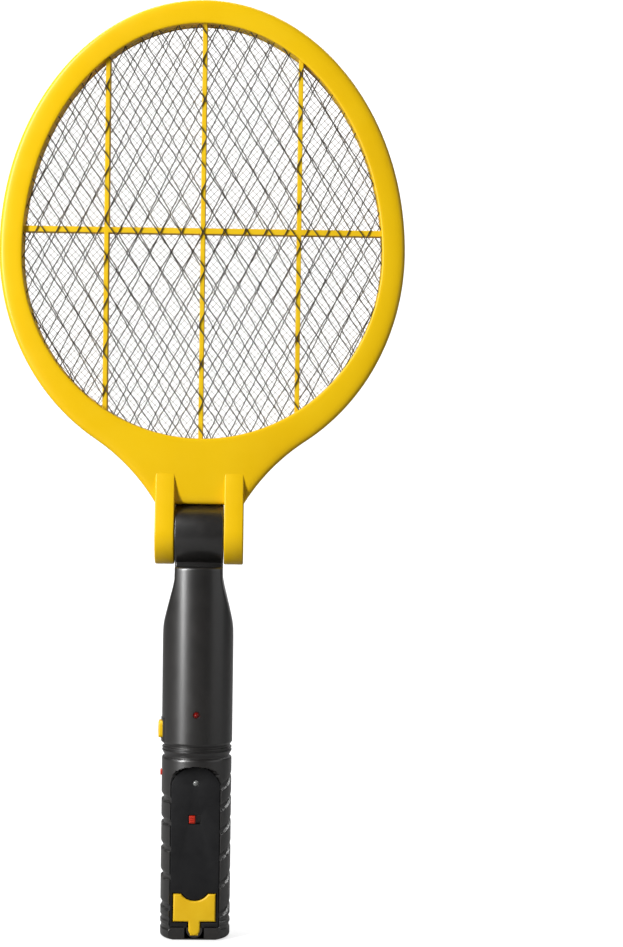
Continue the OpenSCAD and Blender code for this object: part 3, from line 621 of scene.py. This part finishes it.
def guard_mesh(bm, y, turn, cell_w, cell_h, strand):
    """Expanded metal: zigzag strands that touch side by side at the knots."""
    steps, crest = 8, 0.96
    columns = int(2 * WINDOW_RX / cell_w) + 6
    rows = int(1.2 * (WINDOW_TOP + WINDOW_DROP) / cell_h) + 2
    amplitude = cell_w / 4 - strand * 0.42
    cos_t, sin_t = math.cos(turn), math.sin(turn)
    for column in range(-columns, columns):
        start = (column + 0.5) * cell_w / 2
        run = []
        for i in range(-rows * steps, rows * steps + 1):
            phase = i / steps
            wave = math.asin(crest * math.cos(math.pi * phase)) / math.asin(crest)
            swing = -wave if column % 2 else wave
            u = start - amplitude * swing
            v = phase * cell_h / 2
            x = u * cos_t - v * sin_t
            z = MESH_MID + u * sin_t + v * cos_t
            depth = y + 0.12 * math.sin(math.pi * (phase + column))
            if in_window(x, z, 1.6):
                run.append(Vector((x, depth, z)))
        if len(run) > 2:
            wire_run(bm, run, strand / 2, 0.3)


def mesh_rim(bm, y, half_t, d0, d1):
    """The flat rim of a mesh, clamped under the shell."""
    rings = [ring(bm, window_edge(d), y + s * half_t) for d, s in ((d0, -1), (d1, -1), (d1, 1), (d0, 1))]
    bridge_all(bm, rings + rings[:1])


CELL_W, CELL_H = 11.2, 19.5


def make_guard_meshes():
    for node, y, turn, strand, look in (("front_guard_mesh", -5.65, 4.5, 0.54, "mesh_front"),
                                        ("rear_guard_mesh", 5.65, 0.0, 0.56, "mesh_rear")):
        bm = bmesh.new()
        guard_mesh(bm, y, math.radians(turn), CELL_W, CELL_H, strand)
        mesh_rim(bm, y, 0.3, 1.2, 2.6)
        solid_piece("expanded_" + node, bm, "head", look, [node])


def make_centre_grid():
    """The charged grid: fine wires that weave over and under each other."""
    bm = bmesh.new()
    pitch, wire, reach = 2.6, 0.13, 62
    for direction in (-1, 1):
        for k in range(-reach, reach + 1):
            points = []
            for i in range(-reach, reach + 1):
                along, across = i * pitch * math.sqrt(0.5), k * pitch * math.sqrt(0.5)
                x = along - direction * across
                z = MESH_MID + direction * along + across
                if in_window(x, z, 1.5):
                    points.append(Vector((x, wire * direction * (-1) ** (i + k), z)))
            if len(points) > 2:
                wire_run(bm, points, wire, wire, 4)
    mesh_rim(bm, 0, 0.2, 1.2, 2.4)
    solid_piece("fine_centre_grid", bm, "head", "grid_steel", ["centre_grid"])


# ---- Handle casing ----------------------------------------------------------

GRIP_R, TUBE_R, GRIP_TOP, SHOULDER_Z = 18.2, 18.4, 94.4, 193.8
PANEL_Y, PANEL_HALF, PANEL_T = 12.3, 12.7, 2.4
ARCH_Z, ARCH_R = 76.8, 13.7
ZAP_Z, LAMP_Z, SWITCH_Z, CHARGE_LED_Z, HV_LED_Z, PORT_Z = 108.2, 85.5, 62.5, 81.4, 117.6, 16.5
GROOVE_D = 1.2


def turned_profile():
    """Height and radius pairs of the turned body, from the base up."""
    edge = 1.6
    profile = [(edge + edge * math.sin(a), GRIP_R - edge + edge * math.cos(a))
               for a in (math.radians(-90 + 15 * i) for i in range(7))]
    for z in (5.2, 9.6):
        profile += [(z - 0.4, GRIP_R), (z, GRIP_R - 0.5), (z + 1.9, GRIP_R - 0.5), (z + 2.3, GRIP_R)]
    profile += [(GRIP_TOP + dz, r) for dz, r in (
        (-0.9, 18.2), (-0.25, 17.9), (0.2, 17.0), (0.9, 17.0), (3.1, 18.2), (3.4, 18.2), (3.6, 17.4),
        (4.0, 17.4), (4.3, 18.1), (5.0, 18.1), (5.4, 17.2), (6.0, 17.2), (7.8, TUBE_R))]
    profile += [(SHOULDER_Z - 1.5 + 1.5 * math.sin(a), TUBE_R - 1.5 + 1.5 * math.cos(a))
                for a in (math.radians(15 * i) for i in range(7))]
    return profile


NECK_WIDTHS = [(-1, 25.0), (141, 25.0), (162.2, 18.7), (183, 13.25), (187, 12.45), (195, 12.25)]
TURNED = turned_profile()


def read_off(table, z):
    """Straight-line reading of a table of (z, value) pairs."""
    if z <= table[0][0]:
        return table[0][1]
    for (z0, v0), (z1, v1) in zip(table, table[1:]):
        if z <= z1:
            return v0 if z1 == z0 else v0 + (v1 - v0) * (z - z0) / (z1 - z0)
    return table[-1][1]


def groove_depth(phi, z, low, slope):
    """Depth of one slanting groove at a place of the right side."""
    y = -GRIP_R * math.cos(phi)
    along = -y * math.sin(slope) + (z - low) * math.cos(slope)
    reach = min(1.0, max(0.0, (math.radians(153) - phi) / math.radians(4)))
    ramp = min(along / 0.35, 1.0, (3.9 - along) / 1.9)
    return GROOVE_D * max(0.0, ramp) * reach


def pocket_radius(phi, z, r):
    """Radius inside the pocket of the control panel and on the flat below it."""
    if math.cos(phi) < 0.3:
        return r
    side_x = abs(PANEL_Y * math.tan(phi))
    if z < 6.3:
        return min(r, PANEL_Y / math.cos(phi))
    half = PANEL_HALF + 0.3
    if z > ARCH_Z:
        half = min(half, math.sqrt(max(ARCH_R ** 2 - (z - ARCH_Z) ** 2, 0)))
    if side_x < half:
        return min(r, (PANEL_Y - PANEL_T - 0.1) / math.cos(phi))
    return r


def button_radius(phi, z, r, centre_z, width, height, floor_x, rim):
    """Radius round and inside the window of a side button on the left."""
    if math.sin(phi) > -0.5:
        return r
    y = abs(r * math.cos(phi))
    dz = abs(z - centre_z)
    if y < width / 2 and dz < height / 2:
        return floor_x / -math.sin(phi)
    if rim and y < width / 2 + 1.6 and dz < height / 2 + 1.7:
        return r + rim
    return r


def screw_hole_radius(phi, z, r, hole_x, hole_z, floor_y):
    """Radius inside the counterbore of a rear screw, which runs along Y."""
    if math.cos(phi) > -0.2 or abs(z - hole_z) >= 2.5:
        return r
    reach = math.sqrt(2.5 ** 2 - (z - hole_z) ** 2)
    x = abs(r * math.sin(phi))
    if abs(x - hole_x) > reach:
        return r
    side = (hole_x - reach) / max(abs(math.sin(phi)), 1e-3)
    return min(r, max(floor_y / -math.cos(phi), side))


def casing_radius(phi, z):
    """Distance of the casing's surface from the axis; phi is 0 at the front."""
    r = read_off(TURNED, z)
    neck = read_off(NECK_WIDTHS, z) / max(abs(math.sin(phi)), 1e-3)
    soft = 0.5
    r = -soft * math.log(math.exp(-r / soft) + math.exp(-min(neck, 60.0) / soft))
    if 0 < z < 92:
        if phi > 0:
            cut = max(groove_depth(phi, z, 71.8 - 11.475 * k - 0.625 * k * k, math.radians(22))
                      for k in range(-1, 5))
        else:
            cut = max(groove_depth(-phi, z, 71.8 - 11.475 * k - 0.625 * k * k, math.radians(4))
                      for k in range(5))
        r = min(r, max(GRIP_R - cut, GRIP_R - GROOVE_D))
    r = pocket_radius(phi, z, r)
    r = button_radius(phi, z, r, ZAP_Z, 10.8, 9.5, 13.0, 0.4)
    r = button_radius(phi, z, r, LAMP_Z, 5.4, 3.8, 14.0, 0.0)
    for hole_x, hole_z, floor_y in ((12.4, 26, 8), (12.4, 150, 8), (0, 178, 11)):
        r = screw_hole_radius(phi, z, r, hole_x, hole_z, floor_y)
    lamp = math.hypot(r * math.sin(phi), z - HV_LED_Z)
    if math.cos(phi) > 0 and lamp < 1.75:
        r -= 0.5
    return r


def spaced(ranges):
    """Increasing positions from (end, step) pairs."""
    places = [ranges[0][0]]
    for end, step in ranges[1:]:
        start = places[-1]
        count = max(1, round((end - start) / step))
        places += [start + (end - start) * i / count for i in range(1, count + 1)]
    return places


def handle_body(bm):
    heights = spaced([(0, 0), (1.6, 0.27), (4.4, 0.7), (12.2, 0.3), (93.4, 0.5), (102.4, 0.2),
                      (114.4, 0.45), (120.8, 0.3), (146.8, 2.0), (153.2, 0.4), (160, 1.5),
                      (174.8, 0.8), (181.2, 0.4), (191.8, 0.8), (SHOULDER_Z, 0.2)])
    half_turn = spaced([(0, 0), (6, 1.0), (42, 2.2), (50, 0.5), (70, 2.0), (110, 1.1), (125, 2.0),
                        (153, 1.2), (172, 2.4), (180, 1.3)])
    angles = [math.radians(a) for a in [-a for a in half_turn[:0:-1]][1:] + half_turn]
    rings = []
    for z in heights:
        level = []
        for phi in angles:
            r = casing_radius(phi, z)
            level.append(bm.verts.new((r * math.sin(phi), -r * math.cos(phi), z)))
        rings.append(level)
    bridge_all(bm, rings)
    cap(bm, rings[0], axes=(0, 1))
    cap(bm, rings[-1], axes=(0, 1))


def handle_cavity(bm):
    """Inner wall of the casing, a closed surface of its own."""
    wall_r, ledge_y, ledge_z = 16.0, 8.2, 92.6
    rings = []
    for z in (2.2, ledge_z, ledge_z + 0.1, 162, 172, 183, 187):
        level = []
        for k in range(72):
            phi = 2 * math.pi * k / 72
            side = (read_off(NECK_WIDTHS, z) - 2.2) / max(abs(math.sin(phi)), 1e-3)
            r = min(wall_r, side)
            if z <= ledge_z and math.cos(phi) > 0.01:
                r = min(r, ledge_y / math.cos(phi))
            level.append(bm.verts.new((r * math.sin(phi), -r * math.cos(phi), z)))
        rings.append(level)
    bridge_all(bm, rings)
    cap(bm, rings[0], axes=(0, 1))
    cap(bm, rings[-1], axes=(0, 1))


def hinge_barrel(bm):
    """The round barrel of the hinge with rounded rims, bored for the sleeve."""
    profile = [(4.02, -BARREL_HALF)]
    profile += [(KNUCKLE_R - inset, -BARREL_HALF + back) for inset, back in rounding(0.4)[::-1]]
    profile += [(KNUCKLE_R - inset, BARREL_HALF - back) for inset, back in rounding(0.4)]
    profile += [(4.02, BARREL_HALF)]
    rings = []
    for r, x in profile:
        rings.append([bm.verts.new((x, r * math.cos(2 * math.pi * k / 96),
                                    HINGE_Z + r * math.sin(2 * math.pi * k / 96)))
                      for k in range(96)])
    bridge_all(bm, rings + rings[:1])


def neck_block(bm):
    """The block that joins the shoulder to the barrel."""
    outline = rounded_box(2 * BARREL_HALF - 0.1, 12.4, 1.2)
    rings = [[bm.verts.new((p.x, p.y, z)) for p in outline] for z in (SHOULDER_Z - 2, HINGE_Z - 9)]
    bridge_all(bm, rings)
    for level in rings:
        cap(bm, level, axes=(0, 1))


def make_handle_shells():
    for side, node in ((-1, "handle_shell_front"), (1, "handle_shell_rear")):
        whole = bmesh.new()
        for build in (handle_body, hinge_barrel, neck_block):
            part = bmesh.new()
            build(part)
            if build is handle_body:
                handle_cavity(part)
            bmesh.ops.recalc_face_normals(part, faces=part.faces)
            keep_side(part, side)
            scratch = bpy.data.meshes.new("scratch")
            part.to_mesh(scratch)
            part.free()
            whole.from_mesh(scratch)
            bpy.data.meshes.remove(scratch)
        solid_piece(node.replace("handle", "moulded_handle"), whole, "handle",
                    "shell_black", [node], 40)


# ---- Control panel, cover and buttons ----------------------------------------

def panel_outline(half, low, r):
    start = math.acos(half / r)
    arc = [Vector((r * math.cos(a), ARCH_Z + r * math.sin(a)))
           for a in (start + (math.pi / 2 - start) * i / 20 for i in range(21))]
    return both_sides(list(reversed([Vector((5.5, 0.3)), Vector((5.5, low)), Vector((half, low))] + arc)))


def cover_outline(g):
    """The T-shaped port cover grown by g: a wide bar with a thumb cut and a round tongue."""
    bar_half, bar_low, bar_top = 11.4 + g, 9.0 - g, 24.2 + g
    tongue, end, thumb_r, thumb_z = 3.45 + g, 1.7 + 3.45, 8.1 - g, 28.6
    start = math.asin((thumb_z - bar_top) / thumb_r)
    thumb = [Vector((thumb_r * math.cos(a), thumb_z - thumb_r * math.sin(a)))
             for a in (math.pi / 2 + (start - math.pi / 2) * i / 12 for i in range(13))]
    foot = [Vector((tongue * math.cos(a), end - tongue * math.sin(a)))
            for a in (math.pi / 2 * i / 8 for i in range(9))]
    half = thumb + [Vector((bar_half, bar_top)), Vector((bar_half, bar_low)), Vector((tongue, bar_low))]
    return both_sides(half + foot)


def make_control_panel():
    bm = bmesh.new()
    front, back, floor = -PANEL_Y, -PANEL_Y + PANEL_T, -11.0
    outline = panel_outline(PANEL_HALF - 0.1, 6.6, ARCH_R - 0.4)
    outer = [ring(bm, outline, back)]
    outer += [ring(bm, grown(outline, -inset), front + setback) for inset, setback in rounding(0.4)]
    bridge_all(bm, outer)
    window = [p + Vector((-0.4, SWITCH_Z)) for p in rounded_box(6.4, 4.9, 0.3)]
    through = []
    for hole in (window, circle(1.65, 0, CHARGE_LED_Z)):
        rings = [ring(bm, hole, back)]
        rings += [ring(bm, grown(hole, inset), front + setback) for inset, setback in rounding(0.2)]
        bridge_all(bm, rings)
        through.append(rings)
    # close round the bar, with room for the tongue to swing at its foot
    recess = [wide if wide.y < 6 else near for near, wide in zip(cover_outline(0.2), cover_outline(0.5))]
    walls = [ring(bm, recess, floor)]
    walls += [ring(bm, grown(recess, inset), front + setback) for inset, setback in rounding(0.25)]
    bridge_all(bm, walls)
    port = [p + Vector((0, PORT_Z)) for p in rounded_box(9.4, 4.4, 1.2)]
    port_rings = [ring(bm, port, floor), ring(bm, port, back)]
    bridge(bm, *port_rings)
    cap(bm, outer[-1], [walls[-1]] + [rings[-1] for rings in through])
    cap(bm, walls[0], [port_rings[0]])
    cap(bm, outer[0], [port_rings[1]] + [rings[0] for rings in through])
    solid_piece("moulded_control_panel", bm, "handle", "panel_black", ["control_panel"])


def make_port_cover():
    bm = bmesh.new()
    front, back, bead_y, bead_z, bead_r = -12.8, -11.3, -11.7, 2.7, 0.8
    outline = cover_outline(-0.45)
    rings = [ring(bm, grown(outline, -0.15), back), ring(bm, outline, back - 0.2)]
    rings += [ring(bm, outline, front + 0.5), ring(bm, grown(outline, -0.15), front + 0.28),
              ring(bm, grown(outline, -0.62), front + 0.03), ring(bm, grown(outline, -0.8), front)]
    bridge_all(bm, rings)
    cap(bm, rings[-1])
    cap(bm, rings[0])
    bead = []
    for x, r in ((-2.2, bead_r - 0.2), (-2.0, bead_r), (2.0, bead_r), (2.2, bead_r - 0.2)):
        bead.append([bm.verts.new((x, bead_y + r * math.cos(a), bead_z + r * math.sin(a)))
                     for a in (2 * math.pi * k / 20 for k in range(20))])
    bridge_all(bm, bead)
    cap(bm, bead[0], axes=(1, 2))
    cap(bm, bead[-1], axes=(1, 2))
    plug = [p + Vector((0, PORT_Z)) for p in rounded_box(6.0, 1.4, 0.5)]
    plug_rings = [ring(bm, plug, back - 0.1), ring(bm, plug, back + 0.5),
                  ring(bm, grown(plug, -0.2), back + 0.7)]
    bridge_all(bm, plug_rings)
    cap(bm, plug_rings[0])
    cap(bm, plug_rings[-1])
    solid_piece("soft_port_cover", bm, "port_cover", "rubber_yellow", ["port_cover"])


def side_button(name, body, slot, centre_z, width, height, corner, reach, inner_x, edge, flange, stem):
    """A button on the left side: its crown follows a circle of radius reach round the axis."""
    bm = bmesh.new()
    outline = rounded_box(width, height, corner)
    rings = [[bm.verts.new((-inner_x, p.x, centre_z + p.y)) for p in outline]]
    insets = rounding(edge) + [(edge * 2.2, 0.0), (min(width, height) * 0.34, 0.0)]
    for inset, setback in insets:
        level = rounded_box(width - 2 * inset, height - 2 * inset, max(corner - inset, 0.1))
        rings.append([bm.verts.new((-math.sqrt(reach ** 2 - p.x ** 2) + setback, p.x, centre_z + p.y))
                      for p in level])
    bridge_all(bm, rings)
    cap(bm, rings[0], axes=(1, 2))
    cap(bm, rings[-1], axes=(1, 2))
    plate = rounded_box(flange[0], flange[1], corner)
    plate_rings = [[bm.verts.new((x, p.x, centre_z + p.y)) for p in plate]
                   for x in (-inner_x - flange[2], -inner_x)]
    bridge_all(bm, plate_rings)
    for level in plate_rings:
        cap(bm, level, axes=(1, 2))
    pin = circle(stem[0], 0, centre_z, 20)
    pin_rings = [[bm.verts.new((x, p.x, p.y)) for p in pin] for x in (-inner_x - 0.2, -stem[1])]
    bridge_all(bm, pin_rings)
    for level in pin_rings:
        cap(bm, level, axes=(1, 2))
    solid_piece(name, bm, body, slot, [body])


def make_switch_knob():
    """The red slider with three grip ridges across its face."""
    bm = bmesh.new()
    centre = Vector((-1.7, SWITCH_Z))
    outline = [p + centre for p in rounded_box(3.2, 4.0, 0.35)]
    rounded_sheet(bm, outline, [], -PANEL_Y + 0.1, -10.1, 0.25, 0.2)
    for dz in (-1.1, 0.0, 1.1):
        ridge = [p + centre + Vector((0, dz)) for p in rounded_box(2.4, 0.5, 0.2)]
        rounded_sheet(bm, ridge, [], -PANEL_Y - 0.2, -PANEL_Y + 0.3, 0.15, 0.1)
    foot = [p + centre for p in rounded_box(2.0, 2.0, 0.2)]
    rounded_sheet(bm, foot, [], -8.8, -10.2, 0.1, 0.1)
    solid_piece("ridged_switch_knob", bm, "switch_knob", "plastic_red",
                ["slide_switch_knob"])


# ---- CAD nodes that are shown as they are --------------------------------------

def finish_cad_nodes():
    """Gives every CAD node the finish that its material slot names."""
    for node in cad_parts.values():
        for slot in node.material_slots:
            look = slot.material.name.split(".")[0]
            slot.material = FINISHES.get(look, FINISHES["mesh_rear"])


def squash_spring(name):
    """A copy of the CAD spring, tied to the handle in place of the CAD node, which is hidden.
    """
    cad = bpy.data.objects[name]
    spring = add_to_scene(bpy.data.objects.new("pressed_" + name, cad.data.copy()))
    spring.matrix_world = cad.matrix_world
    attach(spring, "handle")
    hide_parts(name)
    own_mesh(spring)


FINISHES["mesh_steel"] = FINISHES["mesh_rear"]

make_camera()
make_lights()
make_world()
make_stage()
finish_cad_nodes()
make_head_shells()
make_rib_frames()
make_guard_meshes()
make_centre_grid()
make_handle_shells()
make_control_panel()
make_port_cover()
side_button("crowned_zap_button", "zap_button", "button_yellow", ZAP_Z, 10, 8.7, 1.8, TUBE_R + 2,
            13.2, 0.7, (12.4, 11, 1.2), (1.5, 10.9))
side_button("crowned_lamp_button", "lamp_button", "plastic_red", LAMP_Z, 4.6, 3, 0.9, GRIP_R + 0.8,
            14.2, 0.35, (6.6, 5.2, 0.8), (0.8, 11.2))
make_switch_knob()

squash_spring("zap_spring")
squash_spring("lamp_spring")
